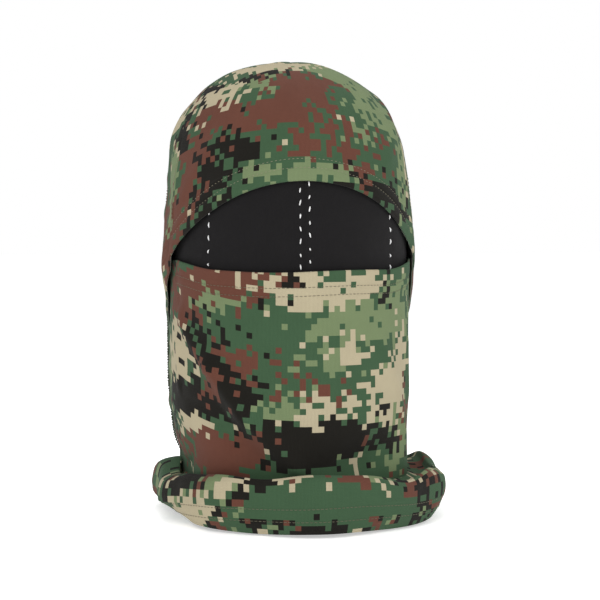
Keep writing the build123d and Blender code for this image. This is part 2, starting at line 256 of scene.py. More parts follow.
FACE_PATCHES = (
    (-72, 164, 45, 9, BROWN), (-98, 148, 21, 14, BROWN), (-63, 151, 18, 6, LIGHT), (12, 163, 58, 8, TAN),
    (22, 150, 34, 6, TAN), (17, 168, 12, 4, DARK), (-8, 165, 3, 6, BLACK), (63, 152, 7, 14, BLACK),
    (-22, 166, 7, 3, BROWN), (-44, 154, 10, 4, BROWN), (38, 136, 30, 13, LIGHT), (18, 114, 12, 9, LIGHT),
    (80, 140, 13, 22, LIGHT), (30, 118, 11, 8, TAN), (68, 88, 24, 21, TAN), (82, 112, 8, 15, TAN),
    (-110, 108, 21, 23, TAN), (-82, 123, 12, 10, BLACK), (-60, 106, 14, 13, BLACK), (-90, 84, 33, 12, BLACK),
    (-46, 86, 15, 17, BLACK), (-8, 58, 33, 14, BLACK), (22, 63, 22, 10, BLACK), (-44, 112, 11, 6, BROWN),
    (-67, 97, 8, 8, BROWN), (3, 97, 12, 7, BROWN), (-15, 81, 12, 6, LIGHT), (7, 80, 13, 7, TAN),
    (-90, 67, 25, 6, TAN), (-64, 50, 34, 13, BROWN), (80, 55, 12, 14, LIGHT), (67, 60, 9, 11, BLACK),
    (92, 76, 5, 8, BROWN), (118, 120, 14, 24, DARK),
    (128, 62, 17, 11, BROWN), (132, 92, 13, 8, TAN), (114, 142, 11, 9, LIGHT), (138, 44, 10, 9, BLACK),
    (-132, 72, 13, 9, BLACK), (-138, 100, 8, 9, LIGHT), (-128, 50, 13, 8, BROWN),
)
CUFF_PATCHES = (
    (-97, 12, 20, 13, TAN), (-100, 34, 18, 8, BLACK), (-66, 32, 14, 7, LIGHT), (-61, 28, 8, 5, TAN),
    (-42, 32, 12, 9, BLACK), (-21, 38, 12, 5, TAN), (25, 32, 13, 10, BROWN), (42, 30, 7, 9, LIGHT),
    (-2, 7, 19, 6, BLACK), (80, 24, 13, 11, BLACK), (66, 19, 10, 8, BROWN), (48, 44, 15, 5, BLACK),
    (105, 43, 20, 8, TAN), (10, 20, 60, 11, DARK),
)
BACK_PATCHES = (
    (-40, 270, 34, 20, BROWN), (30, 300, 40, 16, TAN), (60, 240, 26, 22, LIGHT), (-70, 215, 22, 26, LIGHT),
    (0, 225, 30, 12, BLACK), (30, 190, 34, 13, BROWN), (-30, 170, 30, 14, TAN), (70, 160, 22, 20, BLACK),
    (-85, 140, 20, 22, BROWN), (0, 135, 26, 12, LIGHT), (45, 105, 30, 14, TAN), (-45, 95, 34, 12, BLACK),
    (-10, 65, 40, 10, BROWN), (80, 70, 22, 16, LIGHT), (-95, 55, 18, 16, TAN), (105, 205, 16, 20, BROWN),
)


SHADER_INPUTS = {"roughness": "Roughness", "sheen": "Sheen Weight", "sheen_roughness": "Sheen Roughness",
                 "specular": "Specular IOR Level"}


class Nodes:
    """Builds one material's node tree."""

    def __init__(self, name):
        self.material = bpy.data.materials.new(name)
        self.material.use_nodes = True
        self.tree = self.material.node_tree
        self.shader = self.tree.nodes["Principled BSDF"]

    def add(self, kind, **values):
        node = self.tree.nodes.new(kind)
        for key, value in values.items():
            setattr(node, key, value)
        return node

    def link(self, out, into):
        self.tree.links.new(out, into)

    def feed(self, socket, value):
        if isinstance(value, bpy.types.NodeSocket):
            self.link(value, socket)
        else:
            socket.default_value = value

    def math(self, operation, a, b=0.0):
        node = self.add("ShaderNodeMath", operation=operation)
        self.feed(node.inputs[0], a)
        self.feed(node.inputs[1], b)
        return node.outputs[0]

    def scale(self, value, factor, offset):
        return self.math("ADD", self.math("MULTIPLY", value, factor), offset)

    def vector(self, operation, a, b=(0.0, 0.0, 0.0)):
        node = self.add("ShaderNodeVectorMath", operation=operation)
        self.feed(node.inputs[0], a)
        self.feed(node.inputs[1], b)
        return node.outputs["Value" if operation == "LENGTH" else "Vector"]

    def mix(self, share, a, b, blend="MIX"):
        node = self.add("ShaderNodeMix", data_type="RGBA", blend_type=blend)
        self.feed(node.inputs["Factor"], share)
        for socket, value in ((node.inputs[6], a), (node.inputs[7], b)):
            self.feed(socket, (*value, 1.0) if isinstance(value, tuple) else value)
        return node.outputs[2]

    def noise(self, vector, scale, detail=2.0, roughness=0.5):
        node = self.add("ShaderNodeTexNoise")
        self.link(vector, node.inputs["Vector"])
        node.inputs["Scale"].default_value = scale
        node.inputs["Detail"].default_value = detail
        node.inputs["Roughness"].default_value = roughness
        return node

    def grey(self, value):
        """A colour with the same value in all three channels."""
        node = self.add("ShaderNodeCombineXYZ")
        for socket in node.inputs:
            self.feed(socket, value)
        return node.outputs[0]

    def relief(self, height, strength, distance):
        node = self.add("ShaderNodeBump")
        node.inputs["Strength"].default_value = strength
        node.inputs["Distance"].default_value = distance
        self.link(height, node.inputs["Height"])
        self.link(node.outputs["Normal"], self.shader.inputs["Normal"])

    def wave(self, vector, direction, scale, distortion=0.0, detail=2.0):
        node = self.add("ShaderNodeTexWave", wave_type="BANDS", bands_direction=direction)
        self.link(vector, node.inputs["Vector"])
        node.inputs["Scale"].default_value = scale
        node.inputs["Distortion"].default_value = distortion
        node.inputs["Detail"].default_value = detail
        return node.outputs["Fac"]

    def finish(self, colour, **values):
        """Link the base colour and set the shader's other inputs, given as plain names."""
        self.link(colour, self.shader.inputs["Base Color"])
        for key, value in values.items():
            self.shader.inputs[SHADER_INPUTS[key]].default_value = value
        return self.material


def cloth_coordinates(nodes):
    """The cloth's own coordinates in millimetres."""
    source = nodes.add("ShaderNodeUVMap", uv_map="cloth")
    return nodes.vector("MULTIPLY", source.outputs["UV"], (1000.0, 1000.0, 0.0))


def knit_bump(nodes, place, strength):
    """Fine ribs of a jersey knit, with the broader unevenness of worn cloth."""
    ribs = nodes.math("MULTIPLY", nodes.wave(place, "X", 0.36, 0.6, 1.0), 0.5)
    courses = nodes.math("MULTIPLY", nodes.wave(place, "Y", 0.5, 0.8), 0.3)
    fuzz = nodes.noise(place, 1.6, 3.0, 0.7)
    total = nodes.math("ADD", nodes.math("ADD", ribs, courses), fuzz.outputs["Fac"])
    creases = nodes.noise(place, 0.045, 2.0, 0.45)
    height = nodes.math("ADD", total, nodes.math("MULTIPLY", creases.outputs["Fac"], CREASE_HEIGHT))
    nodes.relief(height, strength, 0.0003)
    return total


def lean(nodes, place, bend, left_only):
    """Shift the rows of squares by a curve, as the print leans where the knit is pulled."""
    parts = nodes.add("ShaderNodeSeparateXYZ")
    nodes.link(place, parts.inputs[0])
    across = nodes.math("MINIMUM", parts.outputs[0], 0.0) if left_only else parts.outputs[0]
    rise = nodes.math("MULTIPLY", nodes.math("MULTIPLY", across, across), bend)
    moved = nodes.add("ShaderNodeCombineXYZ")
    nodes.link(parts.outputs[0], moved.inputs[0])
    nodes.link(nodes.math("ADD", parts.outputs[1], rise), moved.inputs[1])
    return moved.outputs[0]


def camo_pattern(nodes, place, patches, drift, bend, left_only):
    """Every square takes one colour: drifts of random blocks, then the piece's own patches."""
    snapped = nodes.vector("SNAP", lean(nodes, place, bend, left_only), (CELL, CELL, 1.0))
    centre = nodes.vector("ADD", snapped, (CELL / 2, CELL / 2, 0.0))
    cell = lean(nodes, centre, -bend, left_only)
    white = nodes.add("ShaderNodeTexWhiteNoise", noise_dimensions="2D")
    nodes.link(cell, white.inputs["Vector"])
    shifted = nodes.vector("ADD", cell, (311.0, 173.0, 5.0))
    fields = []
    for source in (nodes.noise(cell, 0.062, 2.0, 0.6), nodes.noise(shifted, 0.075, 2.0, 0.6)):
        split = nodes.add("ShaderNodeSeparateColor")
        nodes.link(source.outputs["Color"], split.inputs[0])
        fields += [split.outputs[0], split.outputs[1], split.outputs[2]]
    grains = nodes.add("ShaderNodeSeparateColor")
    nodes.link(white.outputs["Color"], grains.inputs[0])
    grain = [nodes.math("SUBTRACT", channel, 0.5) for channel in grains.outputs[:3]]
    cubed = [nodes.math("POWER", channel, 3.0) for channel in grain]
    colour = None
    drifts = ((LIGHT, 0.575, 0), (TAN, 0.60, 3), (BROWN, 0.585, 1), (BLACK, 0.60, 4))
    for index, (paint, level, field) in enumerate(drifts):
        value = nodes.math("ADD", fields[field], nodes.math("MULTIPLY", grain[index % 3], 0.10))
        share = nodes.math("GREATER_THAN", value, level + drift)
        colour = nodes.mix(share, DARK if colour is None else colour, paint)
    for index, (q, v, half_q, half_v, paint) in enumerate(patches):
        offset = nodes.vector("SUBTRACT", cell, (float(q), float(v), 0.0))
        scaled = nodes.vector("MULTIPLY", offset, (1.0 / half_q, 1.0 / half_v, 0.0))
        reach = nodes.vector("LENGTH", scaled)
        wobble = nodes.math("MULTIPLY", nodes.math("SUBTRACT", fields[index % 6], 0.5), PATCH_WOBBLE)
        speck = nodes.math("MULTIPLY", cubed[index % 3], 8.0 * SPECK_REACH / max(half_q, half_v))
        edge = nodes.math("ADD", nodes.math("ADD", reach, wobble), speck)
        colour = nodes.mix(nodes.math("LESS_THAN", edge, PATCH_EDGE), colour, paint)
    return colour


def camo_material(name, patches, drift, bend=0.0, left_only=False):
    nodes = Nodes(name)
    place = cloth_coordinates(nodes)
    colour = camo_pattern(nodes, place, patches, drift, bend, left_only)
    fade = nodes.noise(place, 0.03, 3.0, 0.55)
    shade = nodes.scale(fade.outputs["Fac"], 0.22, 0.89)
    relief = knit_bump(nodes, place, 0.55)
    stripe = nodes.scale(relief, 0.34, 0.70)
    worn = nodes.vector("MULTIPLY", nodes.grey(shade), nodes.grey(stripe))
    return nodes.finish(nodes.mix(1.0, colour, worn, "MULTIPLY"), roughness=0.86, sheen=0.04,
                        sheen_roughness=0.5, specular=0.10)


def plain_cloth(name, colour, variation, strength, sheen):
    """One-colour cloth: knit relief, slow fading and a little lint."""
    nodes = Nodes(name)
    place = cloth_coordinates(nodes)
    relief = knit_bump(nodes, place, strength)
    fade = nodes.noise(place, 0.05, 4.0, 0.6)
    shade = nodes.scale(fade.outputs["Fac"], variation, 1.0 - variation / 2)
    shade = nodes.math("MULTIPLY", shade, nodes.scale(relief, 0.2, 0.82))
    return nodes.finish(nodes.mix(1.0, colour, nodes.grey(shade), "MULTIPLY"), roughness=0.9, sheen=sheen,
                        sheen_roughness=0.5, specular=0.2)


def thread_material(name, colour):
    """Twisted sewing thread: slanted plies and slight soiling."""
    nodes = Nodes(name)
    where = nodes.add("ShaderNodeTexCoord").outputs["Object"]
    tone = nodes.noise(where, 180.0, 2.0, 0.6)
    shade = nodes.scale(tone.outputs["Fac"], 0.4, 0.78)
    nodes.relief(nodes.wave(where, "DIAGONAL", 900.0), 0.4, 0.0002)
    return nodes.finish(nodes.mix(1.0, colour, nodes.grey(shade), "MULTIPLY"), roughness=0.7)


def foam_material():
    """Cut foam: a pale skin with open pores."""
    nodes = Nodes("foam")
    where = nodes.add("ShaderNodeTexCoord").outputs["Object"]
    pores = nodes.add("ShaderNodeTexVoronoi")
    nodes.link(where, pores.inputs["Vector"])
    pores.inputs["Scale"].default_value = 420.0
    tone = nodes.mix(pores.outputs["Distance"], (0.52, 0.52, 0.50), (0.72, 0.72, 0.70))
    nodes.relief(pores.outputs["Distance"], 0.5, 0.0005)
    return nodes.finish(tone, roughness=0.95)


def board_material():
    """Black painted fibreboard, with faint brush marks and greyer worn spots."""
    nodes = Nodes("painted_board")
    where = nodes.add("ShaderNodeTexCoord").outputs["Object"]
    stretched = nodes.vector("MULTIPLY", where, (60.0, 900.0, 900.0))
    brush = nodes.noise(stretched, 1.0, 4.0, 0.65)
    worn = nodes.noise(where, 45.0, 3.0, 0.6)
    tone = nodes.mix(worn.outputs["Fac"], (0.010, 0.010, 0.010), (0.045, 0.043, 0.040))
    nodes.relief(brush.outputs["Fac"], 0.35, 0.0003)
    return nodes.finish(tone, roughness=0.55)


# ---- mesh building ----
def add_object(name, data):
    piece = bpy.data.objects.new(name, data)
    bpy.context.collection.objects.link(piece)
    return piece


def thick_sheet(name, outer, normals, thickness, cloth_uv, materials, wrap=0.0):
    """A cloth sheet with real thickness and rounded edges, from a grid of outside points.

    Rows run up the cloth and columns round it. wrap is the distance round a closed ring, or 0 for open.
    """
    inner = outer - normals * thickness
    rows, columns = outer.shape[:2]

    def rim(row, beyond):
        edge = outer[row] - outer[beyond]
        edge /= np.maximum(np.linalg.norm(edge, axis=1), 1e-6)[:, None]
        return (outer[row] + inner[row]) / 2 + edge * thickness / 2, edge

    low, low_dir = rim(0, 1)
    high, high_dir = rim(rows - 1, rows - 2)
    layers = np.concatenate([low[None], outer, high[None], inner[::-1]])
    facing = np.concatenate([low_dir[None], normals, high_dir[None], -normals[::-1]])
    uv = np.concatenate([cloth_uv[:1], cloth_uv, cloth_uv[-1:], cloth_uv[::-1]])
    count = len(layers)
    faces = []
    corners = []
    material = []
    across = columns if wrap else columns - 1
    for i in range(count):
        k = (i + 1) % count
        for j in range(across):
            m = (j + 1) % columns
            shift = wrap if m == 0 else 0.0
            faces.append((i * columns + j, i * columns + m, k * columns + m, k * columns + j))
            corners += [(i, j, 0.0), (i, m, shift), (k, m, shift), (k, j, 0.0)]
            material.append(0 if i <= rows + 1 else 1)
    if not wrap:
        ends = [(i, i + 1, count - i - 1, count - i) for i in range(1, rows)]
        ends += [(0, 1, count - 1), (rows, rows + 1, rows + 2)]
        for j, order in ((0, 1), (columns - 1, -1)):
            for end in ends:
                face = end[::order]
                faces.append(tuple(r * columns + j for r in face))
                corners += [(r, j, 0.0) for r in face]
                material.append(0)
    mesh = bpy.data.meshes.new(name)
    mesh.from_pydata((layers.reshape(-1, 3) * MM).tolist(), [], faces)
    layer = mesh.uv_layers.new(name="cloth")
    flat = []
    for i, j, shift in corners:
        u, v = uv[i, j]
        flat += [(u + shift) * MM, v * MM]
    layer.data.foreach_set("uv", flat)
    mesh.polygons.foreach_set("use_smooth", [True] * len(faces))
    mesh.polygons.foreach_set("material_index", material)
    for paint in materials:
        mesh.materials.append(paint)
    mesh.normals_split_custom_set_from_vertices(facing.reshape(-1, 3).tolist())
    return add_object(name, mesh)


def normals_at(point_at, q, v):
    """Outward normals of a surface, from how its points move with each coordinate."""
    along = point_at(q + 0.6, v) - point_at(q - 0.6, v)
    up = point_at(q, v + 0.6) - point_at(q, v - 0.6)
    normal = np.cross(along, up)
    size = np.linalg.norm(normal, axis=-1)
    flat = size < 1e-6
    normal[flat] = (0.0, 0.0, 1.0)
    return normal / np.where(flat, 1.0, size)[..., None]


def grid_normals(points):
    """Outward normals of a closed ring of rows, from its neighbours."""
    along = np.roll(points, -1, axis=1) - np.roll(points, 1, axis=1)
    up = np.gradient(points, axis=0)
    normal = np.cross(along, up)
    return normal / np.maximum(np.linalg.norm(normal, axis=-1), 1e-6)[..., None]


def steps(length):
    return max(2, int(round(length / STEP)) + 1)


def stitch_run(name, path, length, gap, radius, material, jitter):
    """Separate stitches along a path of (point, outward normal) pairs: each a bowed capsule."""
    points = np.array([p for p, _ in path])
    normals = np.array([n for _, n in path])
    distance = np.concatenate([[0.0], np.cumsum(np.linalg.norm(np.diff(points, axis=0), axis=1))])
    rng = np.random.default_rng(len(path) + int(distance[-1]))

    def along(values, at):
        return np.array([np.interp(at, distance, values[:, k]) for k in range(3)])

    verts = []
    faces = []
    sides, rings = 6, 7
    start = 0.0
    while start + length < distance[-1]:
        size = length * (1.0 + jitter * rng.uniform(-0.5, 0.5))
        turn = jitter * rng.uniform(-0.35, 0.35)
        base = len(verts)
        for r in range(rings):
            share = r / (rings - 1)
            at = start + size * share
            centre = along(points, at)
            normal = along(normals, at)
            normal /= np.linalg.norm(normal)
            ahead = along(points, at + 0.3) - centre
            ahead /= max(np.linalg.norm(ahead), 1e-6)
            sideways = np.cross(normal, ahead)
            bow = math.sin(math.pi * share)
            width = radius * (0.25 + 0.75 * bow ** 0.5)
            centre = centre + normal * (radius * (1.2 * bow - 0.4))
            centre = centre + sideways * turn * size * (share - 0.5)
            for s in range(sides):
                angle = 2 * math.pi * s / sides
                verts.append(centre + width * (math.cos(angle) * sideways + math.sin(angle) * normal))
        for r in range(rings - 1):
            for s in range(sides):
                t = (s + 1) % sides
                a = base + r * sides
                faces.append((a + s, a + t, a + sides + t, a + sides + s))
        faces.append(tuple(base + s for s in reversed(range(sides))))
        faces.append(tuple(base + (rings - 1) * sides + s for s in range(sides)))
        start += length + gap
    mesh = bpy.data.meshes.new(name)
    mesh.from_pydata([tuple(v * MM) for v in verts], [], faces)
    mesh.polygons.foreach_set("use_smooth", [True] * len(faces))
    mesh.materials.append(material)
    return add_object(name, mesh)


def topstitch(node, path, material, body):
    """One row of sewing along a hem, which moves with the hem's body."""
    thread = stitch_run(node + "_threads", path, 2.3, 0.55, 0.20, material, 0.1)
    attach(thread, node, body)


def attach(piece, node, body):
    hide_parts(node)
    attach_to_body(piece, body)


def blend(piece, upper, lower, y, from_z, to_z):
    """Bake the piece's placement into its mesh. The bodies, y and the two heights are not used."""
    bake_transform(piece)


def path_on(points_at, q, v):
    """Points along a line on a cloth surface, each with the outward normal there."""
    here = points_at(q, v)
    du = points_at(q + 0.5, v) - here
    dv = points_at(q, v + 0.5) - here
    normal = np.cross(du, dv)
    normal /= np.linalg.norm(normal, axis=1)[:, None]
    return list(zip(here, normal))


# ---- the mask's cloth, as surfaces ----
def groove(distance, rows, depth=0.45, width=0.9):
    """Each topstitch row presses a shallow line into the cloth."""
    return -sum(depth * bump(distance, row, width) for row in rows)


BROW_FOLDS = (
    ((-128, 168), (-108, 232), 5.0, 1.2), ((112, 176), (100, 230), 4.0, 1.0),
    ((118, 205), (132, 262), 4.5, 1.2), ((-146, 200), (-136, 270), 5.0, 1.4),
    ((-104, 214), (-62, 262), 7.0, 1.3), ((70, 244), (112, 292), 7.0, 1.3),
)
FACE_FOLDS = (
    ((-104, 140), (-68, 108), 6.0, 3.2), ((-68, 108), (-42, 78), 6.5, 4.4), ((-42, 78), (-6, 42), 6.5, 4.6),
    ((-112, 132), (-106, 92), 5.0, 2.0), ((-96, 98), (-58, 62), 6.0, 2.2), ((60, 120), (92, 60), 6.0, 1.6),
    ((96, 130), (104, 84), 5.0, 1.1), ((14, 96), (44, 62), 6.0, 1.0),
)
BACK_FOLDS = (
    ((-60, 118), (-18, 82), 6.0, 2.0), ((62, 112), (22, 78), 6.0, 2.2), ((-30, 88), (34, 74), 5.5, 1.6),
    ((-70, 236), (-20, 214), 7.0, 1.3), ((84, 206), (30, 176), 7.0, 1.4),
)


def tuck(q, v):
    """Low down the tube hangs in towards the neck, most on the left. q is measured from the front."""
    left = bump(q, -138.0, 62.0)
    right = bump(q, 138.0, 55.0)
    slim = -(1.9 * left + 1.4 * right) * smooth((172.0 - v) / 40.0)
    return slim - (9.5 * left + 2.6 * right) * smooth((78.0 - v) / 36.0)


def clear_of_form(out, v):
    """Keep the cloth outside the form, at rest and when the neck is rolled up."""
    rolled = v + NECK_ROLL * smooth((ROLL_FROM_Z - v) / (ROLL_FROM_Z - ROLL_ALL_Z))
    room = FORM_NARROWS * smooth((COLUMN_BOTTOM_Z - rolled) / (COLUMN_BOTTOM_Z - FORM_NECK_Z))
    return np.maximum(out, CLOTH + 0.8 - FORM_INSET - room)


def at_seam(out, q, v, sunk=0.0):
    """Both panels meet at one depth along the side seam and pucker beside it."""
    seam = np.abs(SEAM_Q - np.abs(q))
    share = np.exp(-(seam / 9.0) ** 2)
    out = out * (1.0 - share) + share * (tuck(q, v) + 1.2 * bump(v, 215.0, 60.0) - sunk)
    out = out + 1.0 * np.exp(-seam / 12.0) * np.sin(v / 3.6 + 1.1 * np.sin(v / 23.0)) * smooth(seam / 3.0)
    return out - 1.3 * np.exp(-(seam / 1.1) ** 2)


def brow_out(q, v):
    """The hem stands a little proud; the temples and crown swell, more on the left."""
    edge = arch_edge(q)
    slope = (arch_edge(q + 1.0) - arch_edge(q - 1.0)) / 2.0
    distance = (v - edge) / np.sqrt(1.0 + slope ** 2)
    out = 0.7 * (1.0 - smooth((distance - 14.5) / 2.5)) + groove(distance, BROW_ROWS)
    out = out - 1.1 * (1.0 - smooth(distance / 3.0)) * bump(q, 0.0, 95.0)
    side = smooth((np.abs(q) - 80.0) / 50.0)
    left = smooth(-q / 20.0)
    out = out + side * (0.6 + 1.4 * left) * bump(v, 180.0, 26.0) + side * 2.2 * left * bump(v, 262.0, 28.0)
    out = out - side * 1.3 * (1.0 - left) * bump(v, 270.0, 50.0)
    out = out + 3.6 * bump(q, -118.0, 60.0) * bump(v, 308.0, 28.0)
    out = out + side * (1.0 - 1.6 * left) * (1.0 - smooth((v - 120.0) / 50.0))
    out = out + 0.9 * smooth((np.abs(q) - 90.0) / 16.0) * (1.0 - smooth((v - 190.0) / 22.0))
    out = out + 0.9 * ripple(q, v, 26.0, 1.4) + folds(q, v, BROW_FOLDS)
    return at_seam(out, q, v)


def face_out(q, v):
    """The cheeks' long folds run down to the left of the chin, beside a hollow; the foot is wavy."""
    distance = face_top(q) - v
    out = 0.8 * (1.0 - smooth((distance - 15.0) / 2.0)) + groove(distance, FACE_ROWS)
    out = out - 2.0 * smooth((np.abs(q) - 96.0) / 16.0) * smooth((v - 118.0) / 12.0)
    out = out + 0.8 * ripple(q, v, 23.0, 0.6) * smooth((170.0 - v) / 25.0)
    out = out + folds(q, v, FACE_FOLDS) + 3.5 * bump(q, 12.0, 58.0) * bump(v, 74.0, 38.0)
    across, along = line_distance(q, v, (-82, 92), (-34, 56))
    out = out - 6.0 * bump(across, -4.0, 10.0) * bump(along, 0.5, 0.62)
    out = out - 6.5 * bump(q, 34.0, 26.0) * bump(v, 46.0, 13.0) + tuck(q, v)
    low = smooth((72.0 - v) / 34.0)
    out = out + low * (2.2 * np.sin(q / 13.0 + 0.8) - 2.5 * bump(q, -20.0, 60.0))
    return clear_of_form(at_seam(out, q, v, 1.6 * smooth((v - 118.0) / 12.0)), v)


def back_out(q, v):
    """Here q runs from the back centre; the nape has slack folds."""
    out = 0.7 * ripple(q, v, 27.0, 3.3) + tuck(front_q(q), v)
    side = smooth((np.abs(q) - 90.0) / 40.0)
    out = out + side * (1.6 * bump(v, 250.0, 28.0) + 1.4 * bump(v, 180.0, 30.0))
    slack = smooth((125.0 - v) / 60.0)
    out = out + slack * (1.6 * np.sin(q / 11.0 + 0.4) + 1.1 * np.sin(q / 19.0 + v / 30.0))
    out = out - slack * 3.0 * bump(q, 0.0, 60.0) + folds(q, v, BACK_FOLDS)
    return clear_of_form(at_seam(out, front_q(q), v), v)


def front_q(q):
    """Change a ring distance measured from the back centre to one from the front, or the other way."""
    return np.where(q < 0, q + BACK_Q, q - BACK_Q)


def face_top(q):
    """Top edge of the face panel: nearly level, rising where it tucks under the flaps."""
    lift = 5.5 * smooth((np.abs(q) - 62.0) / 50.0)
    sag = -0.8 * bump(q, -15.0, 40.0) + 0.4 * np.sin(q / 17.0)
    return FACE_EDGE_Z + lift + sag


def brow_point(q, v):
    return surface(q, v, brow_out(q, v))


def face_point(q, v):
    return surface(q, v, face_out(q, v))


def back_point(q, v):
    return surface(front_q(q), v, back_out(q, v))


# ---- materials ----
knit_reverse = plain_cloth("knit_reverse", (0.30, 0.32, 0.25), 0.16, 0.5, 0.2)
hood_cloth = (camo_material("camo_knit_hood", HOOD_PATCHES, 0.10, 0.0015), knit_reverse)
face_cloth = (camo_material("camo_knit_face", FACE_PATCHES, 0.10, -0.0016, True), knit_reverse)
cuff_cloth = (camo_material("camo_knit_cuff", CUFF_PATCHES, 0.02), knit_reverse)
rear_cloth = (camo_material("camo_knit_back", BACK_PATCHES, 0.03), knit_reverse)
form_cloth = plain_cloth("black_cover_cloth", FORM_BLACK, 0.45, 0.6, 0.02)
seam_cloth = plain_cloth("seam_overlock", (0.05, 0.06, 0.035), 0.4, 0.8, 0.1)
pale_thread = thread_material("topstitch_thread", THREAD_PALE)
dark_thread = thread_material("face_topstitch_thread", THREAD_DARK)
white_thread = thread_material("running_stitch_thread", (0.78, 0.78, 0.77))


def sheet(name, node, point_at, grid, cloth, thickness=CLOTH):
    """A cloth sheet over a grid of ring distances and distances up the outline."""
    q, v = grid
    facing = normals_at(point_at, q, np.minimum(v, POLE_V - POLE_GAP))
    piece = thick_sheet(name, point_at(q, v), facing, thickness, np.stack([q, v], axis=-1), cloth)
    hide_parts(node)
    return piece


def lay_cap_flat(piece, side):
    """On the crown cap the print runs straight over the top instead of crowding to a point."""
    mesh = piece.data
    layer = mesh.uv_layers["cloth"]
    cap_reach, cap_z = profile(CAP_V)[:2]
    for polygon in mesh.polygons:
        if polygon.center.z > cap_z * MM:
            for loop in polygon.loop_indices:
                place = mesh.vertices[mesh.loops[loop].vertex_index].co / MM
                u = place.x * HALF_WIDTH / cap_reach * side
                v = CAP_V + cap_reach + HALF_STRAIGHT + place.y * side
                layer.data[loop].uv = (u * MM, v * MM)


def columns_across(half):
    return np.linspace(-half, half, steps(2 * half))


def grid_between(columns, low, high, rows):
    """Matching grids of ring distance and height, evenly spread between two edges."""
    low = np.broadcast_to(low, columns.shape)
    share = np.linspace(0.0, 1.0, rows)[:, None]
    return np.repeat(columns[None, :], rows, axis=0), low + (high - low) * share


# ---- the hood ----
def make_brow():
    columns = columns_across(SEAM_Q - SEAM_GAP)
    edge = arch_edge(columns)
    slope = np.gradient(edge, columns)
    hem_top = edge + BROW_HEM * np.sqrt(1.0 + np.minimum(slope ** 2, 4.0))
    grid = grid_between(columns, edge, hem_top, 12)
    hem = sheet("brow_hem_cloth", "brow_hem", brow_point, grid, hood_cloth, thickness=HEM_CLOTH)
    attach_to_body(hem, "brow_edge")
    grid = grid_between(columns, hem_top, POLE_V, steps(POLE_V - 240.0) + 22)
    cloth = sheet("brow_cloth", "brow_panel", brow_point, grid, hood_cloth)
    lay_cap_flat(cloth, 1.0)
    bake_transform(cloth)
    q = np.linspace(-ARCH_END_Q, ARCH_END_Q, 300)
    rise = np.sqrt(1.0 + np.gradient(arch_edge(q), q) ** 2)
    for node, row in zip(("brow_topstitch_lower", "brow_topstitch_upper"), BROW_ROWS):
        topstitch(node, path_on(brow_point, q, arch_edge(q) + row * rise), pale_thread, "brow_edge")


def make_face():
    columns = columns_across(SEAM_Q - SEAM_GAP)
    top = face_top(columns)
    hem_low = top - FACE_HEM
    open_part = np.abs(columns) < SEAM_Q - HEM_SHORT
    grid = grid_between(columns[open_part], hem_low[open_part], top[open_part], 9)
    hem = sheet("face_hem_cloth", "face_hem", face_point, grid, face_cloth, thickness=HEM_CLOTH)
    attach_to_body(hem, "face_edge")
    grid = grid_between(columns, FACE_SPLIT_V, hem_low, steps(62.0))
    upper = sheet("face_cloth_upper", "face_panel", face_point, grid, face_cloth)
    blend(upper, "hood", "face_edge", FRONT_Y, FACE_SPLIT_V + 1.0, FACE_EDGE_Z - FACE_HEM - 1.0)
    grid = grid_between(columns, TUBE_LOW_V, FACE_SPLIT_V, steps(72.0) + 4)
    lower = sheet("face_cloth_lower", "face_panel", face_point, grid, face_cloth)
    blend(lower, "hood", "neck_cuff", FRONT_Y, ROLL_FROM_Z, ROLL_ALL_Z)
    q = np.linspace(-ARCH_END_Q, ARCH_END_Q, 260)
    for node, row in zip(("face_topstitch_upper", "face_topstitch_lower"), FACE_ROWS):
        topstitch(node, path_on(face_point, q, face_top(q) - row), dark_thread, "face_edge")


def make_back():
    columns = columns_across(BACK_Q - SEAM_Q - SEAM_GAP)
    grid = grid_between(columns, TUBE_LOW_V, POLE_V, steps(POLE_V - TUBE_LOW_V))
    cloth = sheet("back_cloth", "back_panel", back_point, grid, rear_cloth)
    lay_cap_flat(cloth, -1.0)
    blend(cloth, "hood", "neck_cuff", -FRONT_Y, ROLL_FROM_Z, ROLL_ALL_Z)


def make_seam(name, node, side, low_v, high_v):
    """The overlocked join: a corded line in the groove between the front and back panels."""
    v = np.linspace(low_v, high_v, steps(high_v - low_v) * 2)
    q = np.full_like(v, side * SEAM_Q)
    depth = back_out(q - side * BACK_Q, v)
    beat = 0.18 * np.sin(v * 2.0 * math.pi / 2.6)
    path = list(zip(surface(q, v, depth + 0.2 + beat), surface(q, v, 1.0) - surface(q, v, 0.0)))
    cord = stitch_run(name, path, 2.4, -0.5, 0.75, seam_cloth, 0.25)
    layer = cord.data.uv_layers.new(name="cloth")
    for loop in cord.data.loops:
        place = cord.data.vertices[loop.vertex_index].co
        layer.data[loop.index].uv = (place.y, place.z)
    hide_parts(node)
    return cord


def make_seams():
    for word, side in (("left", -1), ("right", 1)):
        cord = make_seam(f"side_seam_{word}_cord", f"side_seam_{word}", side, TUBE_LOW_V, TEMPLE_Z)
        blend(cord, "hood", "neck_cuff", 0.0, ROLL_FROM_Z, ROLL_ALL_Z)
        crown = make_seam(f"crown_seam_{word}_cord", "crown_seam", side, TEMPLE_Z, POLE_V)
        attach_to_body(crown, "hood")


# ---- the neck fold ----
def swell(q, scale, phase):
    """A wave round the neck fold that dies out towards the back centre, where the ring closes."""
    return np.sin(q / scale + phase) * (1.0 - smooth((np.abs(q) - 240.0) / 60.0))


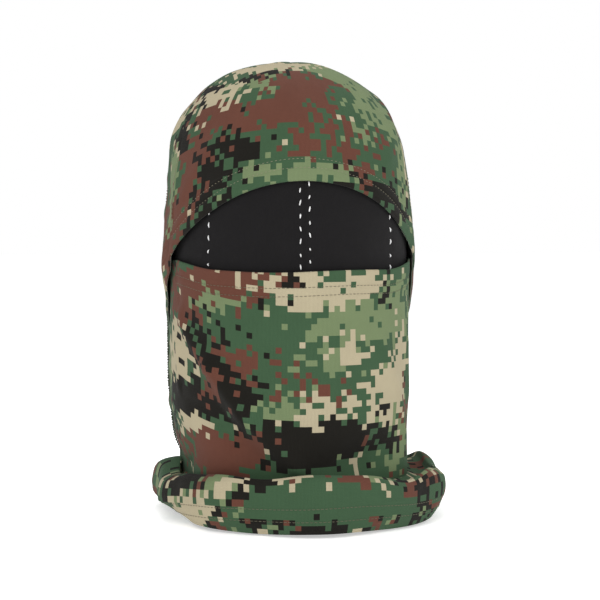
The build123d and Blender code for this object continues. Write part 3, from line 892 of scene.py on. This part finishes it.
def cuff_section(q):
    """The fold's section at each ring distance: heights and half widths of crest, bulge, hem and foot."""
    left = bump(q, -150.0, 60.0)
    right = bump(q, 150.0, 55.0)
    front = bump(q, -5.0, 75.0)
    wave = np.sin(q * math.pi / BACK_Q * 7 + 0.9)
    slow = np.sin(q * math.pi / BACK_Q * 3 + 2.0)
    behind = smooth((np.abs(q) - 140.0) / 70.0)
    crest_z = 32.0 + 7.0 * front + 3.0 * left - 5.0 * behind + 2.0 * wave * (1.0 - front) + 0.9 * slow
    crest_z = crest_z + 1.1 * swell(q, 12.5, 0.4) + 0.7 * swell(q, 7.3, 2.6)
    crest_w = 95.5 + 0.9 * slow + 0.8 * swell(q, 10.0, 1.1) - 12.0 * left - 1.0 * right
    bulge_w = 100.3 + 1.0 * wave + 1.0 * right - 0.6 * left + 0.9 * swell(q, 8.6, 2.0)
    bulge_w = bulge_w + 0.6 * swell(q, 19.0, 0.7)
    hem_z = 18.5 + 2.0 * front + 1.1 * slow - 6.0 * left + swell(q, 17.0, 0.0)
    hem_z = np.minimum(hem_z, crest_z - 8.0)
    foot_w = 95.5 - 21.0 * left - 8.0 * right - 1.5 * front + 1.8 * wave + 1.4 * swell(q, 13.0, 1.9)
    return crest_z, crest_w, bulge_w, hem_z, foot_w


def spline_rows(knots, count):
    """Catmull-Rom curve through knot arrays, each knot an array of points round the ring."""
    knots = [2 * knots[0] - knots[1]] + knots + [2 * knots[-1] - knots[-2]]
    spans = len(knots) - 3
    rows = []
    for share in np.linspace(0.0, spans, count):
        i = min(int(share), spans - 1)
        t = share - i
        p0, p1, p2, p3 = knots[i:i + 4]
        rows.append(0.5 * (2 * p1 + (p2 - p0) * t + (2 * p0 - 5 * p1 + 4 * p2 - p3) * t ** 2
                           + (3 * p1 - p0 - 3 * p2 + p3) * t ** 3))
    return np.stack(rows)


def ring_knot(q, width, z):
    """One knot of the fold's section, all round the head's reference ring."""
    x, y, _, _ = ring(q, width)
    return np.stack([x + CUFF_X, y, np.broadcast_to(z, x.shape)], axis=-1)


def pleat(q):
    """Ridges and dips where the cloth laps over itself, strongest on the left of the front."""
    left = 3.2 * bump(q, -62.0, 10.0) - 2.6 * bump(q, -44.0, 9.0) + 2.6 * bump(q, -116.0, 11.0)
    left = left - 2.2 * bump(q, -95.0, 9.0)
    right = 1.6 * bump(q, 96.0, 12.0) - 1.8 * bump(q, 116.0, 9.0) + 1.4 * bump(q, 30.0, 14.0)
    return left + right + 1.2 * swell(q, 9.0, 0.0) * smooth((np.abs(q) - 120.0) / 30.0)


def cuff_grids():
    """Rows of points for the fold and for its hem, from the tube over the crest down to the foot."""
    q = np.linspace(-BACK_Q, BACK_Q, int(2 * BACK_Q / STEP))[:-1]
    crest_z, crest_w, bulge_w, hem_z, foot_w = cuff_section(q)
    tube_v = np.full_like(q, 30.0)
    depth = np.where(np.abs(q) < SEAM_Q, face_out(q, tube_v), back_out(front_q(q), tube_v))
    tube = surface(q, tube_v, depth - 0.5)
    crest = ring_knot(q, crest_w, crest_z)
    valley = tube * 0.55 + crest * 0.45
    valley[:, 2] = np.minimum(27.5, crest_z - 5.0) + swell(q, 21.0, 0.0)
    inner = tube * 0.16 + crest * 0.84
    inner[:, 2] = crest_z - 4.0
    shoulder = ring_knot(q, (bulge_w * 3.0 + crest_w) / 4 + 0.6 + 0.3 * pleat(q), crest_z - 3.6)
    bulge = ring_knot(q, bulge_w + 0.55 * pleat(q), 0.35 * crest_z + 0.65 * hem_z)
    hem_top = ring_knot(q, bulge_w - 0.2 + 0.35 * pleat(q), hem_z)
    fold_rows = spline_rows([tube, valley, inner, crest, shoulder, bulge, hem_top], 34)
    mid = ring_knot(q, (bulge_w + foot_w) / 2 + 1.2, hem_z / 2)
    low = ring_knot(q, foot_w + 1.2, 3.0)
    foot = ring_knot(q, foot_w, 1.6 + 0.7 * swell(q, 15.0, 1.0))
    hem_rows = spline_rows([hem_top, mid, low, foot], 16)
    return q, fold_rows, hem_rows


def band_uv(q, rows, start):
    """Cloth coordinates of a band: ring distance, and distance up its section from the lowest row."""
    length = np.linalg.norm(np.diff(rows, axis=0), axis=2).mean(axis=1)
    v = start + np.concatenate([[0.0], np.cumsum(length)])
    around = q * CUFF_HALF_WIDTH / HALF_WIDTH
    return np.stack(np.meshgrid(around, v), axis=-1)


def make_cuff():
    q, fold_rows, hem_rows = cuff_grids()
    fold_rows, hem_rows = fold_rows[::-1], hem_rows[::-1]
    hem_length = np.linalg.norm(np.diff(hem_rows, axis=0), axis=2).mean(axis=1).sum()
    around = 2 * BACK_Q * CUFF_HALF_WIDTH / HALF_WIDTH
    fold_piece = thick_sheet("neck_fold_cloth", fold_rows, grid_normals(fold_rows), CLOTH,
                             band_uv(q, fold_rows, hem_length), cuff_cloth, around)
    hem_piece = thick_sheet("neck_hem_cloth", hem_rows, grid_normals(hem_rows), HEM_CLOTH,
                            band_uv(q, hem_rows, 0.0), cuff_cloth, around)
    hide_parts("front_skirt", "back_skirt")
    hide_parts("neck_hem")
    for piece in (fold_piece, hem_piece):
        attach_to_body(piece, "neck_cuff")
    for node, height in zip(("neck_topstitch_upper", "neck_topstitch_lower"), NECK_ROWS):
        index = int(round(height / NECK_HEM_LENGTH * (len(hem_rows) - 1)))
        path = list(zip(hem_rows[index], grid_normals(hem_rows)[index]))
        topstitch(node, path, dark_thread, "neck_cuff")


# ---- the display form ----
def gore_q(angle):
    """Ring distance of a gore seam, given its angle from the front."""
    return HALF_WIDTH * math.radians(angle) + (2 * HALF_STRAIGHT if angle > 90.0 else 0.0)


def form_out(q, v):
    """The cover is drawn in along its seams and puckers beside them."""
    seams = [gore_q(angle) * side for angle in GORE_SEAMS for side in (-1, 1)]
    out = 0.25 * ripple(q, v, 31.0, 2.2) + 0.18 * ripple(q, v, 12.0, 0.3)
    for seam in seams:
        away = np.abs(q - seam)
        pucker = 0.28 * np.sin(v * 2 * math.pi / 8.5 + seam) * np.exp(-away / 5.0)
        out = out - 0.4 * np.exp(-(away / 0.8) ** 2) + pucker * smooth(away / 1.5)
    return out


def form_point(q, v):
    return form_surface(q, v, form_out(q, v))


def make_form():
    front = gore_q(GORE_SEAMS[1])
    rear = gore_q(GORE_SEAMS[2])
    gores = (
        ("cover_front_left", -front, 0.0), ("cover_front_right", 0.0, front),
        ("cover_side_left", -rear, -front), ("cover_side_right", front, rear),
        ("cover_back", rear, 2 * BACK_Q - rear),
    )
    for node, low, high in gores:
        columns = np.linspace(low, high, steps(high - low))
        q, v = grid_between(columns, FORM_LOW_V, POLE_V, steps(POLE_V - FORM_LOW_V))
        grid = (np.where(q > BACK_Q, q - 2 * BACK_Q, q), v)
        cloth = (form_cloth, form_cloth)
        piece = sheet(node + "_cloth", node, form_point, grid, cloth, CLOTH * 0.8)
        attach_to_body(piece, "display_form")


def make_running_stitches():
    """White hand stitches: a row each side of the front seam, and one beside each other seam."""
    side = gore_q(GORE_SEAMS[1] - 2.5)
    rear = gore_q(GORE_SEAMS[2] + 2.5)
    rows = (
        ("centre_a", "centre", -3.3, 96.0, 289.0, 0.4), ("centre_b", "centre", 3.3, 100.0, 287.0, 0.4),
        ("left_row", "left", -side, 97.0, 288.0, 0.5), ("right_row", "right", side, 94.0, 288.0, 0.5),
        ("back_a", "back", rear, 97.0, 288.0, 0.5), ("back_b", "back", -rear, 95.0, 288.0, 0.5),
    )
    for name, node, q, low_v, high_v, wander in rows:
        v = np.linspace(low_v, high_v, 260)
        path = path_on(form_point, q + wander * np.sin(v / 37.0 + q), v)
        thread = stitch_run("running_stitches_" + name, path, 3.1, 5.4, 0.5, white_thread, 0.8)
        attach(thread, "running_stitches_" + node, "display_form")


def give_material(node, material):
    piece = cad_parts[node]
    piece.data.materials.clear()
    piece.data.materials.append(material)


# ---- floor, light and camera ----
def make_stage():
    """A pale floor that glows a little, and even light that the camera sees as white."""
    bpy.context.scene.view_settings.view_transform = "Standard"
    paint = Nodes("pale_floor")
    paint.shader.inputs["Base Color"].default_value = (FLOOR_TONE, FLOOR_TONE, FLOOR_TONE, 1.0)
    paint.shader.inputs["Roughness"].default_value = 0.9
    paint.shader.inputs["Emission Color"].default_value = (1.0, 1.0, 1.0, 1.0)
    paint.shader.inputs["Emission Strength"].default_value = FLOOR_GLOW
    mesh = bpy.data.meshes.new("floor")
    corners = [(x, y, -0.0005) for x, y in ((-6.0, -6.0), (6.0, -6.0), (6.0, 6.0), (-6.0, 6.0))]
    mesh.from_pydata(corners, [], [(0, 1, 2, 3)])
    mesh.materials.append(paint.material)
    add_object("floor", mesh)
    world = bpy.data.worlds.new("studio")
    world.use_nodes = True
    nodes = world.node_tree.nodes
    nodes["Background"].inputs["Color"].default_value = (1.0, 1.0, 1.0, 1.0)
    seen = nodes.new("ShaderNodeLightPath")
    strength = nodes.new("ShaderNodeMath")
    strength.operation = "MULTIPLY_ADD"
    strength.inputs[1].default_value = 1.0 - STUDIO_LIGHT
    strength.inputs[2].default_value = STUDIO_LIGHT
    world.node_tree.links.new(seen.outputs["Is Camera Ray"], strength.inputs[0])
    world.node_tree.links.new(strength.outputs[0], nodes["Background"].inputs["Strength"])
    bpy.context.scene.world = world


def area_light(name, place, size, power):
    lamp = bpy.data.lights.new(name, "AREA")
    lamp.size = size
    lamp.energy = power
    light = add_object(name, lamp)
    light.location = place
    away = np.array(place) - np.array(LIGHT_TARGET)
    light.rotation_euler = (math.atan2(math.hypot(away[0], away[1]), away[2]), 0.0,
                            math.atan2(away[0], -away[1]))


def make_camera():
    """Eye height just above the eye opening, looking level; the mask is turned a little to the right."""
    distance, height, turn = 1.20, 0.215, math.radians(-7.0)
    lens = bpy.data.cameras.new("camera")
    lens.lens = 101.9
    lens.sensor_width = 36.0
    lens.shift_x = 0.0217
    lens.shift_y = -0.161
    camera = add_object("camera", lens)
    camera.location = (distance * math.sin(turn), -distance * math.cos(turn), height)
    camera.rotation_euler = (math.pi / 2, 0.0, turn)
    bpy.context.scene.camera = camera


# ---- the whole scene ----
make_brow()
make_face()
make_back()
make_seams()
make_cuff()
make_form()
make_running_stitches()
give_material("foam_core", foam_material())
give_material("base_board", board_material())
make_stage()
area_light("key", (-0.7, -1.3, 1.3), 1.2, 14.5)
area_light("fill", (1.3, -0.9, 0.7), 1.4, 7.5)
area_light("top", (0.1, 0.3, 1.6), 1.2, 8.0)
make_camera()
